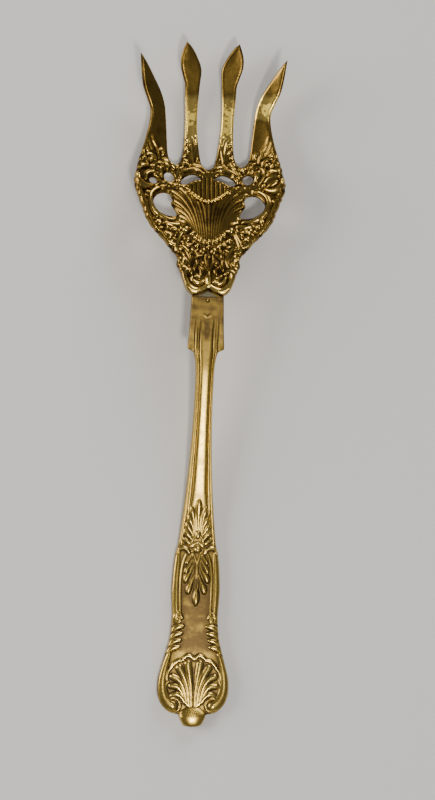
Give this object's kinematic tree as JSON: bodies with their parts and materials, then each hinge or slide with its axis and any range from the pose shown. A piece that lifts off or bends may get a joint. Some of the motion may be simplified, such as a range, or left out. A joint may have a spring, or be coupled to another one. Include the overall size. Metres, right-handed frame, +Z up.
{
  "type": "serving fork",
  "caption": "Ornate brass serving fork: pierced shell-and-scroll head with splayed tines, soldered over the tongue of a fiddle-shouldered handle with a shell end.",
  "frame": {"origin": "centre of the bounding box, on the surface that the fork rests on", "axes": "+Y along the fork towards the tine tips, +Z up out of its face, +X to the right seen from above"},
  "size_m": [0.0532, 0.2362, 0.0153],
  "materials": {
    "handle_brass": "satin gilt brass, dark in the struck grooves, bright on the stem",
    "head_brass": "antique gilt brass, brown patina in the recesses, polished tines",
    "pin_brass": "bright filed brass",
    "solder": "dull grey-olive solder"
  },
  "bodies": {
    "root": {"handle": "handle_brass", "head": "head_brass", "locating_pin": "pin_brass", "solder_bead": "solder", "solder_pool": "solder"}
  },
  "joints": []
}
